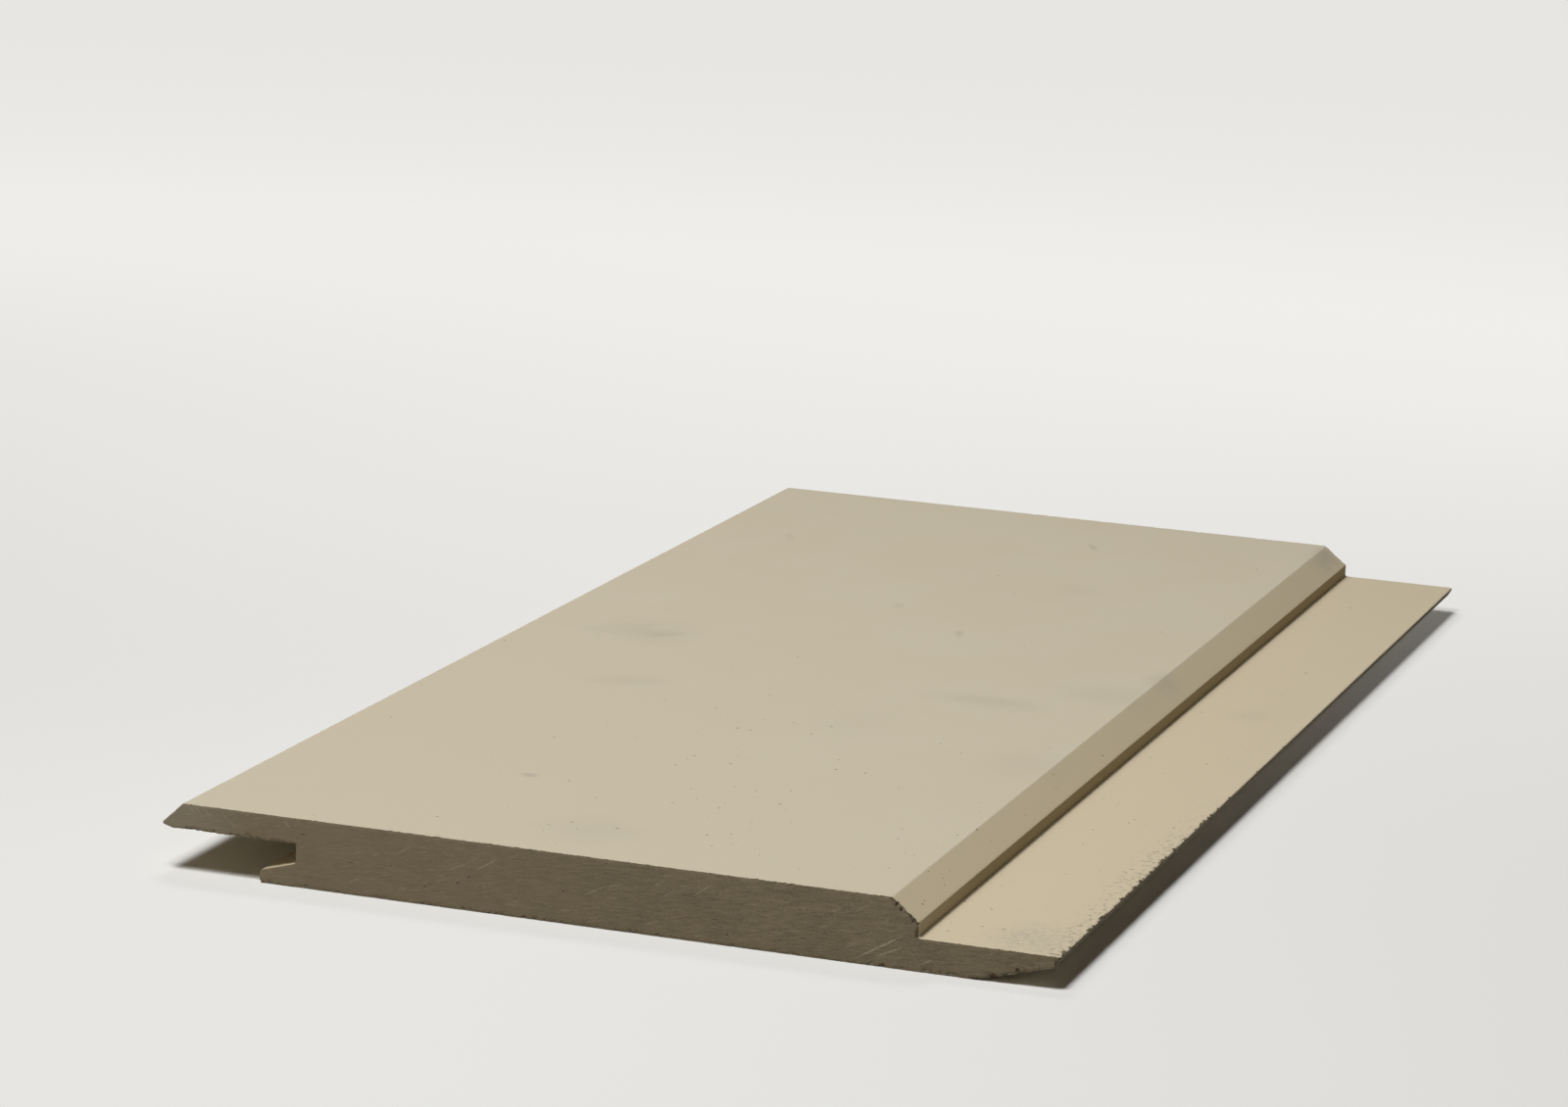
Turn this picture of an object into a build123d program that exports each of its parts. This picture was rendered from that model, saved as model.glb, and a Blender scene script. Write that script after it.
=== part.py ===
"""V-groove siding board: one length of fibre cement board, sawn square at both ends.

The board lies on its back with its face up. X runs across the width, from the overlapping lip at -X to the
tongue at +X. Y runs along the length and Z is up. The origin is the middle of the back face.
"""

import os

from build123d import *

# Driving dimensions, in millimetres.
board_length = 440.0
cover_width = 177.8  # lip nose to shoulder: the width that one board covers on the wall
thickness = 15.875
tongue_length = 31.75  # how far the tongue stands out from the shoulder, as a nailing flange

lip_thickness = 6.0  # upper lip, from the face to its underside
lip_bevel_run = 4.8  # half of the V on the lip side, measured across the face
shoulder_bevel_run = 6.35  # half of the V on the shoulder side
nose_land = 0.6  # upright land at the nose, which butts against the next board's shoulder
nose_relief_rise = 0.7  # back relief under the nose, so that the joint closes on the face
nose_relief_run = 2.3

tongue_tip_thickness = 2.2  # from the tongue's top to where the taper would meet its outermost line
tongue_taper_run = 18.3  # length of the tapered underside, back from the tip
tip_land = 0.6  # upright land under the tongue's outer edge
tip_undercut_run = 1.05  # how far the tip leans back below its land
lower_lip_length = 8.65  # how far the lower lip stands out from the groove's back wall

# Clearances in the joint between two boards.
nail_head_gap = 2.4  # between the tongue's top and the lip above it
taper_clearance = 0.1  # between the tongue's taper and the lower lip
tip_clearance = 0.8  # between the tongue's tip and the groove's back wall

# Edge radii.
face_arris_radius = 0.5
nose_radius = 0.2
shoulder_radius = 0.4
inner_corner_radius = 0.5
tongue_edge_radius = 0.3
tongue_underside_radius = 1.2
taper_blend_radius = 8.0
lower_lip_radius = 1.0

# Sizes that follow from those above.
overall_width = cover_width + tongue_length
tongue_thickness = thickness - lip_thickness - nail_head_gap
lip_underside = thickness - lip_thickness
nose_low = lip_underside + nose_relief_rise
nose_top = nose_low + nose_land
shoulder_top = nose_low + nose_land / 2  # the next board's nose closes over this edge
taper_start = overall_width - tongue_taper_run
taper_rise = tongue_thickness - tongue_tip_thickness
groove_depth = tongue_length + tip_clearance
lower_lip_end = groove_depth - lower_lip_length
tip_underside = overall_width - tip_undercut_run


def taper_height(across):
    """Height of the tongue's tapered underside, this far across."""
    return taper_rise * (across - taper_start) / tongue_taper_run


def lower_lip_height(across):
    """Height of the lower lip's top, this far across: the next board's tongue taper, less a clearance."""
    return taper_height(across + cover_width) - taper_clearance


def board_section():
    """The section, seen from the -Y end, as a closed line of straight runs with a radius at each corner."""
    lower_lip_end_height = lower_lip_height(lower_lip_end)
    lower_lip_edge = min(lower_lip_radius, 0.4 * lower_lip_end_height)
    tongue_edge = min(tongue_edge_radius, 0.6 * tip_land)
    corners = [
        # face and lip: across from the nose, height, corner radius
        (lip_bevel_run, thickness, face_arris_radius),
        (0, nose_top, nose_radius),
        (0, nose_low, nose_radius),
        (nose_relief_run, lip_underside, 0),
        # groove and lower lip
        (groove_depth, lip_underside, inner_corner_radius),
        (groove_depth, lower_lip_height(groove_depth), inner_corner_radius),
        (lower_lip_end, lower_lip_end_height, lower_lip_edge),
        (lower_lip_end, 0, lower_lip_edge),
        # back and tongue
        (taper_start, 0, taper_blend_radius),
        (tip_underside, taper_height(tip_underside), tongue_underside_radius),
        (overall_width, tongue_thickness - tip_land, 0),
        (overall_width, tongue_thickness, tongue_edge),
        # shoulder and its bevel
        (cover_width, tongue_thickness, inner_corner_radius),
        (cover_width, shoulder_top, shoulder_radius),
        (cover_width - shoulder_bevel_run, thickness, face_arris_radius),
    ]
    points = [(across - overall_width / 2, height) for across, height, radius in corners]
    radii = [radius for across, height, radius in corners]
    return make_face(FilletPolyline(points, radius=radii, close=True))


def siding_board():
    """The section carried along the length, half of it each way from the middle."""
    return extrude(Plane.XZ * board_section(), amount=board_length / 2, both=True)


os.makedirs("parts", exist_ok=True)
board = siding_board()
export_step(board, "parts/siding_board.step")
print("siding_board", board.bounding_box().size, "section area", round(board.volume / board_length, 2), "mm2")
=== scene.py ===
"""V-groove siding board: the finish of one length of primed fibre cement cladding board.

The board's section is carried along its length as numpy arrays, chipped where it was sawn and along the
tongue's outer edge, and dressed in three materials: cream primer, sawn fibre cement and the plain back.
The section is measured across from the lip's nose, up from the back and along from the near sawn end. The
materials measure across and along from the board's middle, as the frame does.
"""

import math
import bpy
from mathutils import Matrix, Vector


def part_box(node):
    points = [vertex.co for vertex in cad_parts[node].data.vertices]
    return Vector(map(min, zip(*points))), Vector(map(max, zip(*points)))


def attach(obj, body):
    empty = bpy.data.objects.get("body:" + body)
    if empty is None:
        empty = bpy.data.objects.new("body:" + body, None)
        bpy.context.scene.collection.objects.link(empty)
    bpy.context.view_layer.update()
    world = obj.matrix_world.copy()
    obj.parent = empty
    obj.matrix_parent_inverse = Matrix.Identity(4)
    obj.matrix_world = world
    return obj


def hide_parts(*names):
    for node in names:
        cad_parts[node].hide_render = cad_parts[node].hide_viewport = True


bl_info = {
    "name": "V-groove siding board",
    "version": (1, 0, 0),
    "blender": (4, 5, 0),
    "location": "3D View > Sidebar > Siding",
    "description": "Makes a primed fibre cement siding board with sawn ends, and a plain stage for it",
    "category": "Object",
}

import bpy
import numpy as np
from bpy.props import FloatProperty, FloatVectorProperty, IntProperty, PointerProperty
from mathutils import Matrix, Vector

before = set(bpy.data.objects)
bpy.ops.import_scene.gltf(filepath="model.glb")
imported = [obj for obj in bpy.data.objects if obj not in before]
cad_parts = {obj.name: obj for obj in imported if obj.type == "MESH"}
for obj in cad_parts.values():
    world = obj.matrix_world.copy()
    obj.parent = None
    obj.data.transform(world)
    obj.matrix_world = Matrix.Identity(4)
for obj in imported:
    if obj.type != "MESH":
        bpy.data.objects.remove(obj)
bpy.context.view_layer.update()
BOARD_LOW, BOARD_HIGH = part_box("siding_board")
BOARD_WIDTH, BOARD_LENGTH, BOARD_THICKNESS = BOARD_HIGH - BOARD_LOW
MM = 0.001
TINY = 1e-9


def linear(red, green, blue):
    """A screen colour, given from 0 to 255, as the linear values that shaders use."""
    screen = np.array([red, green, blue]) / 255
    return tuple(np.where(screen <= 0.04045, screen / 12.92, ((screen + 0.055) / 1.055) ** 2.4))


def length_property(name, description, millimetres):
    """A length that the panel shows, with its default in millimetres."""
    default = millimetres * MM
    return FloatProperty(name=name, description=description, default=default, precision=5, unit="LENGTH")


def number_property(name, description, value, unit="NONE"):
    """A number that the panel shows, with its unit where it has one."""
    return FloatProperty(name=name, description=description, default=value, unit=unit)


def place_property(name, description, metres):
    """A place that the panel shows, in metres."""
    return FloatVectorProperty(name=name, description=description, default=metres, subtype="XYZ")


def colour_property(name, description, screen):
    """A colour that the panel shows, with its default as screen values."""
    return FloatVectorProperty(
        name=name, description=description, default=linear(*screen), min=0, max=1, subtype="COLOR"
    )


def angle_property(name, description, degrees):
    """An angle that the panel shows, with its default in degrees."""
    return FloatProperty(name=name, description=description, default=math.radians(degrees), unit="ROTATION")


class SidingSection(bpy.types.PropertyGroup):
    """Sizes of the section; its width and thickness come from the frame."""

    cover_width: length_property("Cover width", "From the nose to the shoulder", 177.8)
    lip_thickness: length_property("Lip thickness", "Upper lip, from the face to its underside", 6.0)
    lip_bevel_run: length_property("Lip bevel", "Half of the V on the lip side", 4.8)
    shoulder_bevel_run: length_property("Shoulder bevel", "Half of the V on the shoulder side", 6.35)
    nose_land: length_property("Nose land", "Upright land at the nose", 0.6)
    nose_relief_rise: length_property("Nose relief rise", "Height of the relief under the nose", 0.7)
    nose_relief_run: length_property("Nose relief run", "Width of the relief under the nose", 2.3)
    tongue_tip: length_property("Tongue tip", "From the tongue's top to the taper at its outer line", 2.2)
    tip_land: length_property("Tip land", "Upright land under the tongue's outer edge", 0.6)
    tip_undercut: length_property("Tip undercut", "How far the tip leans back below its land", 1.05)
    taper_run: length_property("Taper", "Length of the tongue's tapered underside", 18.3)
    lower_lip: length_property("Lower lip", "How far the lower lip stands out from the groove", 8.65)
    nail_gap: length_property("Nail gap", "Room for nail heads between the tongue and the lip above it", 2.4)
    taper_gap: length_property("Taper gap", "Clearance between the tongue's taper and the lower lip", 0.1)
    tip_gap: length_property("Tip gap", "Clearance between the tongue's tip and the groove", 0.8)
    arris_radius: length_property("Arris radius", "Edges of the face and the inner corners", 0.5)
    tongue_radius: length_property("Tongue radius", "Outer edge of the tongue's top", 0.3)
    nose_radius: length_property("Nose radius", "Edges of the nose", 0.2)
    shoulder_radius: length_property("Shoulder radius", "Top edge of the shoulder", 0.4)
    underside_radius: length_property("Underside radius", "Lower edge of the tongue's tip", 1.2)
    taper_radius: length_property("Taper radius", "Blend between the back and the taper", 8.0)
    lower_lip_radius: length_property("Lower lip radius", "Edges of the lower lip", 1.0)


class SidingWear(bpy.types.PropertyGroup):
    """How the sawn ends and the tongue's edge are chipped, and how finely the mesh follows that."""

    end_step: length_property("End step", "Distance between points on the near sawn end", 0.36)
    far_step: length_property("Far end step", "Distance between points on the far sawn end", 0.7)
    face_step: length_property("Face step", "Distance between points across the flat faces", 7.0)
    row_step: length_property("Row step", "Distance between points along the flat faces", 4.0)
    tongue_chip: length_property("Tongue chips", "Deepest chip along the tongue's outer edge", 0.75)
    tongue_wear_length: length_property("Tongue wear", "How far the tongue's edge is heavily chipped", 190)
    saw_relief: length_property("Saw relief", "Depth of the unevenness of the sawn ends", 0.07)
    seed: IntProperty(name="Seed", description="Start of the random chips", default=7)


class SidingFinish(bpy.types.PropertyGroup):
    """Colours of the primer and of the bare board under it, and darker tints that paint shade on the bevels,
    the shoulder's wall and deep chips.
    """

    primer: colour_property("Primer", "Cream primer on the face", (199, 188, 165))
    primer_grey: colour_property("Primer, cool", "Cooler patches in the primer", (199, 189, 167))
    # A warmer tint of the primer on the tongue and everything else below the shoulder's top edge.
    primer_warm: colour_property("Primer, warm", "Thinner primer on the tongue", (202, 189, 162))
    # Painted shade on the bevels, which lean away from the light: a darker tone of the same primer.
    primer_bevel_shade: colour_property("Primer, bevel", "Thinner primer on the bevels", (198, 184, 155))
    # Painted shade on the shoulder's wall, which faces away from the light in the corner above the tongue.
    primer_wall_shade: colour_property("Primer, recess", "Grimy primer on the shoulder's wall", (172, 157, 123))
    smudge: colour_property("Smudge", "Grey marks left by handling", (176, 168, 149))
    bloom: colour_property("Bloom", "Grey speckled marks by the tongue's near end", (182, 173, 153))
    pinhole: colour_property("Pinhole", "Small holes in the primer", (96, 84, 62))
    # The pit colour also stands for painted shade deep in the broken edges and on the tongue's bare tip.
    pit: colour_property("Pit", "Holes and cracks in the bare board", (56, 48, 36))
    cement_dark: colour_property("Cement, dark", "Dark layers of the bare board", (99, 88, 69))
    cement_light: colour_property("Cement, light", "Light layers of the bare board", (133, 121, 98))
    cement_fresh: colour_property("Cement, fresh", "Broken edges and scratches", (186, 175, 151))
    cement_grey: colour_property("Cement, grey", "Cooler bare board by the nose", (146, 138, 122))


class SidingStage(bpy.types.PropertyGroup):
    """Where the camera and the lights are."""

    azimuth: angle_property("Azimuth", "Turn of the camera to the right of the board's length", 17.524)
    elevation: angle_property("Elevation", "Height of the camera above the horizon", 11.397)
    roll: angle_property("Roll", "Turn of the camera about its own axis", 2.841)
    distance: number_property("Distance", "From the aim to the camera", 1.5197, "LENGTH")
    aim: place_property("Aim", "Point that the camera looks at", (-0.08145, 0.16007, 0.008))
    lens: number_property("Lens", "Focal length in millimetres, on a frame 36 mm wide", 119.41)
    key_tilt: angle_property("Key tilt", "How far the main light leans to the lip side", 9.5)
    key_front: angle_property("Key front", "How far the main light leans to the near end", 14.0)
    key_angle: angle_property("Key width", "Apparent width of the main light", 14.0)
    key_strength: number_property("Key strength", "Strength of the main light", 1.36)
    near_place: place_property("Near place", "Where the near light hangs", (-0.085, -0.545, 0.9))
    near_width: number_property("Near width", "Width of the near light", 0.3, "LENGTH")
    near_power: number_property("Near power", "Power of the near light", 4.55, "POWER")
    far_place: place_property("Far place", "Where the far light hangs", (-0.215, 0.235, 0.59))
    far_width: number_property("Far width", "Width of the far light", 0.2, "LENGTH")
    far_power: number_property("Far power", "Power of the far light", 0.72, "POWER")
    ambient: number_property("Ambient", "Strength of the light from all round", 0.03)
    floor: colour_property("Floor", "Colour of the floor and of the background", (232, 231, 228))


def section_corners(sizes):
    """The section's corners, anticlockwise as seen from the near end.

    Each has its place across and up, its radius, and how deep and how often the ends are chipped from there
    to the next corner.
    """
    thickness = BOARD_THICKNESS
    width = BOARD_WIDTH
    cover = sizes.cover_width
    underside = thickness - sizes.lip_thickness
    nose_low = underside + sizes.nose_relief_rise
    tongue = underside - sizes.nail_gap
    taper_start = width - sizes.taper_run
    taper_rise = tongue - sizes.tongue_tip
    groove = width - cover + sizes.tip_gap
    lip_end = groove - sizes.lower_lip
    tip_low = width - sizes.tip_undercut

    def taper_height(across):
        return taper_rise * (across - taper_start) / sizes.taper_run

    def lip_height(across):
        return taper_height(across + cover) - sizes.taper_gap

    return {
        "lip_arris": (sizes.lip_bevel_run, thickness, sizes.arris_radius, 0.25 * MM, 0.4),
        "nose_top": (0, nose_low + sizes.nose_land, sizes.nose_radius, 0.25 * MM, 0.5),
        "nose_low": (0, nose_low, sizes.nose_radius, 0.45 * MM, 0.6),
        "relief": (sizes.nose_relief_run, underside, 0, 0.70 * MM, 0.8),
        "groove_top": (groove, underside, sizes.arris_radius, 0.20 * MM, 0.4),
        "groove_low": (groove, lip_height(groove), sizes.arris_radius, 0.20 * MM, 0.4),
        "lower_lip_top": (lip_end, lip_height(lip_end), sizes.lower_lip_radius, 0.35 * MM, 0.5),
        "lower_lip_low": (lip_end, 0, sizes.lower_lip_radius, 0.50 * MM, 0.7),
        "back_start": (groove, 0, 0, 0.55 * MM, 0.7),
        "back_end": (cover, 0, 0, 0.60 * MM, 0.7),
        "taper_start": (taper_start, 0, sizes.taper_radius, 0.75 * MM, 0.8),
        "tip_low": (tip_low, taper_height(tip_low), sizes.underside_radius, 0.55 * MM, 0.7),
        "tip_land": (width, tongue - sizes.tip_land, 0, 0.60 * MM, 0.7),
        "tip_top": (width, tongue, sizes.tongue_radius, 0.40 * MM, 0.45),
        "shoulder_low": (cover, tongue, sizes.arris_radius, 0.50 * MM, 1.0),
        "shoulder_top": (cover, nose_low + sizes.nose_land / 2, sizes.shoulder_radius, 0.72 * MM, 1.2),
        "bevel_arris": (cover - sizes.shoulder_bevel_run, thickness, sizes.arris_radius, 0.40 * MM, 0.55),
        "face_start": (groove, thickness, 0, 0.32 * MM, 0.45),
    }


ARC_POINTS = 5


def rounded(corners, radii):
    """Arcs at the corners of a closed line, as an array of corner, point and axis.

    The centre of an arc lies on the line that halves the corner's angle, at the radius over the sine of half
    that angle from the corner. The points turn evenly about it from one tangent point to the other.
    """
    back = np.roll(corners, 1, axis=0) - corners
    ahead = np.roll(corners, -1, axis=0) - corners
    back /= np.linalg.norm(back, axis=1, keepdims=True)
    ahead /= np.linalg.norm(ahead, axis=1, keepdims=True)
    half = 0.5 * np.arccos(np.clip((back * ahead).sum(axis=1), -1, 1))[:, None]
    inward = back + ahead
    inward /= np.maximum(np.linalg.norm(inward, axis=1, keepdims=True), TINY)
    centre = corners + inward * radii[:, None] / np.sin(half)
    reach = radii[:, None] / np.tan(half)
    start = corners + back * reach - centre
    end = corners + ahead * reach - centre
    turn = math.pi - 2 * half
    share = np.linspace(0, 1, ARC_POINTS)[None, :]
    sine = np.maximum(np.sin(turn), TINY)
    from_start = np.sin((1 - share) * turn) / sine
    from_end = np.sin(share * turn) / sine
    return centre[:, None] + from_start[..., None] * start[:, None] + from_end[..., None] * end[:, None]


class Outline:
    """The section as one closed line with rounded corners, measured by the distance along it."""

    def __init__(self, corners):
        table = np.array(list(corners.values()))
        points = rounded(table[:, :2], table[:, 2]).reshape(-1, 2)
        points = np.roll(points, -(ARC_POINTS // 2), axis=0)
        self.points = np.vstack([points, points[:1]])
        steps = np.linalg.norm(np.diff(self.points, axis=0), axis=1)
        self.along = np.concatenate([[0], np.cumsum(steps)])
        self.length = self.along[-1]
        self.corner = dict(zip(corners, self.along[:-1:ARC_POINTS]))
        self.chips = table[:, 3:]

    def at(self, along):
        """Places across and up at these distances along the outline."""
        along = np.mod(along, self.length)
        return np.stack([np.interp(along, self.along, self.points[:, axis]) for axis in (0, 1)], axis=-1)

    def outward(self, along):
        """Unit vectors out of the board: the direction of travel, turned a quarter to the right."""
        step = 0.02 * MM
        travel = self.at(along + step) - self.at(along - step)
        turned = np.stack([travel[..., 1], -travel[..., 0]], axis=-1)
        return turned / np.maximum(np.linalg.norm(turned, axis=-1, keepdims=True), TINY)

    def chips_at(self, along):
        """How deep and how often the stretch that each distance falls in is chipped."""
        starts = np.array(list(self.corner.values()))
        return self.chips[np.searchsorted(starts, np.mod(along, self.length), side="right") - 1].T

    def stretch(self, start, end, count):
        """Even distances along the outline from one named corner to another, both included."""
        first = self.corner[start]
        last = self.corner[end]
        if last <= first:
            last += self.length
        return np.linspace(first, last, count + 1)

    def span(self, start, end):
        """Length of the outline from one named corner to another."""
        return np.ptp(self.stretch(start, end, 1))


def value_noise(first, second, seed):
    """Smooth random values from 0 to 1: random numbers at whole places, with smooth steps in between."""
    size = 512
    lattice = np.random.default_rng(seed).random((size, size))
    low_first = np.floor(first).astype(int)
    low_second = np.floor(second).astype(int)
    part_first = first - low_first
    part_second = second - low_second
    part_first = part_first**2 * (3 - 2 * part_first)
    part_second = part_second**2 * (3 - 2 * part_second)
    row, next_row = low_first % size, (low_first + 1) % size
    column, next_column = low_second % size, (low_second + 1) % size
    low = lattice[row, column] * (1 - part_first) + lattice[next_row, column] * part_first
    high = lattice[row, next_column] * (1 - part_first) + lattice[next_row, next_column] * part_first
    return low * (1 - part_second) + high * part_second


def ragged(along, share, seed):
    """Depth of chips along an edge, from 0 to about 1.

    Fine crumbling runs all along, and over this share of the edge a deeper bite with its own floor is added.
    """
    level = np.zeros_like(along)

    def roughness(size, step):
        return value_noise(along / size, level, seed + step)

    wave = 0.6 * roughness(1.5 * MM, 1) + 0.4 * roughness(6 * MM, 2)
    bites = np.clip((wave - 0.76 + 0.52 * share) / 0.1, 0, 1)
    return 0.3 * roughness(0.55 * MM, 0) + 0.7 * bites * roughness(0.9 * MM, 5)


def grid_triangles(rows, columns):
    """Two triangles for each cell of a grid whose points are numbered row by row."""
    index = np.arange(rows * columns).reshape(rows, columns)
    a, b = index[:-1, :-1].ravel(), index[1:, :-1].ravel()
    c, d = index[1:, 1:].ravel(), index[:-1, 1:].ravel()
    return np.concatenate([np.stack([a, b, c], axis=1), np.stack([a, c, d], axis=1)])


def zip_triangles(first, second):
    """Triangles that join two lines of points, given by the distances of the points along them.

    Each segment of one line is joined to the point that the other line has reached by then.
    """
    count = len(first)
    i = np.arange(count - 1)
    j = np.arange(len(second) - 1)
    on_second = count + np.searchsorted(second[1:], first[1:], side="left")
    on_first = np.searchsorted(first[1:], second[1:], side="right")
    return np.concatenate(
        [np.stack([i, on_second, i + 1], axis=1), np.stack([on_first, count + j, count + j + 1], axis=1)]
    )


def patch(bottom, top, left, right):
    """A grid between four edges: the blend of the two pairs of edges, less the blend of the four corners."""
    u = np.linspace(0, 1, len(bottom))[:, None, None]
    v = np.linspace(0, 1, len(left))[None, :, None]
    between = (1 - v) * bottom[:, None] + v * top[:, None] + (1 - u) * left[None] + u * right[None]
    low = (1 - u) * bottom[0] + u * bottom[-1]
    high = (1 - u) * top[0] + u * top[-1]
    return between - (1 - v) * low - v * high


def straight(start, end, count):
    """Even points from one place to another."""
    return np.linspace(start, end, count + 1)


def end_mesh(outline, step):
    """The flat end as four patches, upper lip, lower lip, body and tongue, and its places along the outline.

    Patches that meet share an upright seam. The body's left edge is the lower lip's seam, the groove's wall
    and the upper lip's seam, and its right edge is the tongue's seam and the shoulder.
    """

    def count(start, end):
        return max(2, round(outline.span(start, end) / step))

    lip_count = count("relief", "groove_top")
    low_count = count("groove_low", "lower_lip_top")
    body_count = count("back_start", "back_end")
    tongue_count = count("tip_top", "shoulder_low")
    place = {name: outline.at(along) for name, along in outline.corner.items()}

    def seam(start, end):
        return max(2, round(np.linalg.norm(place[start] - place[end]) / step))

    low_rows = seam("groove_low", "back_start")
    wall_rows = count("groove_top", "groove_low")
    lip_rows = seam("face_start", "groove_top")
    tongue_rows = seam("shoulder_low", "back_end")
    shoulder_rows = low_rows + wall_rows + lip_rows - tongue_rows
    runs = {
        "nose": outline.stretch("nose_top", "nose_low", lip_rows),
        "lip_under": outline.stretch("nose_low", "groove_top", lip_count),
        "wall": outline.stretch("groove_top", "groove_low", wall_rows),
        "low_top": outline.stretch("groove_low", "lower_lip_top", low_count),
        "low_end": outline.stretch("lower_lip_top", "lower_lip_low", low_rows),
        "low_back": outline.stretch("lower_lip_low", "back_start", low_count),
        "back": outline.stretch("back_start", "back_end", body_count),
        "taper": outline.stretch("back_end", "tip_low", tongue_count),
        "tip": outline.stretch("tip_low", "tip_top", tongue_rows),
        "tongue_top": outline.stretch("tip_top", "shoulder_low", tongue_count),
        "shoulder": outline.stretch("shoulder_low", "shoulder_top", shoulder_rows),
        "face": outline.stretch("shoulder_top", "face_start", body_count),
        "lip_face": outline.stretch("face_start", "nose_top", lip_count),
    }
    edge = {name: outline.at(along) for name, along in runs.items()}
    low_seam = straight(place["back_start"], place["groove_low"], low_rows)
    lip_seam = straight(place["groove_top"], place["face_start"], lip_rows)
    tongue_seam = straight(place["back_end"], place["shoulder_low"], tongue_rows)
    body_left = np.vstack([low_seam, edge["wall"][::-1][1:], lip_seam[1:]])
    body_right = np.vstack([tongue_seam, edge["shoulder"][1:]])
    patches = [
        patch(edge["lip_under"], edge["lip_face"][::-1], edge["nose"][::-1], lip_seam),
        patch(edge["low_back"], edge["low_top"][::-1], edge["low_end"][::-1], low_seam),
        patch(edge["back"], edge["face"][::-1], body_left, body_right),
        patch(edge["taper"], edge["tongue_top"][::-1], tongue_seam, edge["tip"]),
    ]
    ring = np.concatenate([along[:-1] for along in runs.values()])
    ring = np.append(ring, ring[0] + outline.length)
    return [(grid.reshape(-1, 2), grid_triangles(*grid.shape[:2])) for grid in patches], ring


def at_depth(section, along):
    """Points of the section, across and up, set at a distance along the board."""
    section, along = np.broadcast_arrays(section, np.asarray(along)[..., None])
    return np.stack([section[..., 0], along[..., 0], section[..., 1]], axis=-1)


def swept(outline, places, rows):
    """The outline at these places along it, carried through these distances along the board."""
    points = at_depth(outline.at(places)[None], rows[:, None])
    return points.reshape(-1, 3), grid_triangles(len(rows), len(places))


def seam_strip(outline, first, first_rows, second, second_rows):
    """The strip between two lines along the board, at two places on the outline, with different rows."""
    one = at_depth(outline.at(np.full_like(first_rows, first)), first_rows)
    other = at_depth(outline.at(np.full_like(second_rows, second)), second_rows)
    return np.vstack([one, other]), zip_triangles(first_rows, second_rows)[:, ::-1]


def weld(parts):
    """One mesh from several: points that lie in the same place become one point."""
    starts = np.cumsum([0] + [len(points) for points, triangles in parts])
    points = np.vstack([points for points, triangles in parts])
    triangles = np.vstack([triangles + start for (_, triangles), start in zip(parts, starts)])
    grain = 0.0005 * MM
    cells = np.round(points / grain).astype(np.int64)
    _, first, same = np.unique(cells, axis=0, return_index=True, return_inverse=True)
    triangles = same.reshape(-1)[triangles]
    a, b, c = triangles.T
    return points[first], triangles[(a != b) & (b != c) & (a != c)]


def ring_strip(outline, ring, ring_along, around, around_along):
    """The strip between an end's fine ring and the board's columns, measured from the ring's first point."""
    turned = np.sort(np.mod(around - ring[0], outline.length)) + ring[0]
    turned = np.append(turned, turned[0] + outline.length)
    points = np.vstack([at_depth(outline.at(ring), ring_along), at_depth(outline.at(turned), around_along)])
    triangles = zip_triangles(ring, turned)
    return points, triangles if ring_along < around_along else triangles[:, ::-1]


# Distances from a sawn end: of the rings that follow its chips, and of the first row of the plain faces.
END_ROWS = np.array([0, 0.3, 0.6, 1.0, 1.5, 2.2]) * MM
FIRST_ROW = 3.2 * MM
LAST_ROW = BOARD_LENGTH - FIRST_ROW


def tongue_edge_lines(outline, wear):
    """Fine columns round the tongue's outer edge, and rows that are finest where it is chipped most."""
    below_tip = 1.2 * MM
    inside_tip = 2.6 * MM
    column_count = 25
    chipped_step = 0.34 * MM
    sound_count = 300
    start = outline.corner["tip_low"] - below_tip
    stop = outline.corner["tip_top"] + inside_tip
    chipped = np.arange(FIRST_ROW, wear.tongue_wear_length, chipped_step)
    sound = np.linspace(wear.tongue_wear_length, LAST_ROW, sound_count)
    return np.linspace(start, stop, column_count), np.concatenate([chipped, sound])


def flat_face_lines(outline, wear, edge):
    """Columns and rows for the rest of the outline: its arcs, a column beside each, and even steps."""
    beside = 0.3 * MM
    closest = 0.02 * MM
    start = edge[-1]
    stop = edge[0] + outline.length
    after_arcs = outline.along[2::ARC_POINTS] + beside
    before_arcs = outline.along[3::ARC_POINTS] - beside
    even = np.arange(0, outline.length, wear.face_step)
    columns = np.concatenate([outline.along[:-1], before_arcs, after_arcs, even])
    columns = np.sort(start + np.mod(columns - start, outline.length))
    columns = columns[(columns > start + beside) & (columns < stop - beside)]
    columns = columns[np.diff(columns, prepend=0) > closest]
    return columns, np.linspace(FIRST_ROW, LAST_ROW, round((LAST_ROW - FIRST_ROW) / wear.row_step))


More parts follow.
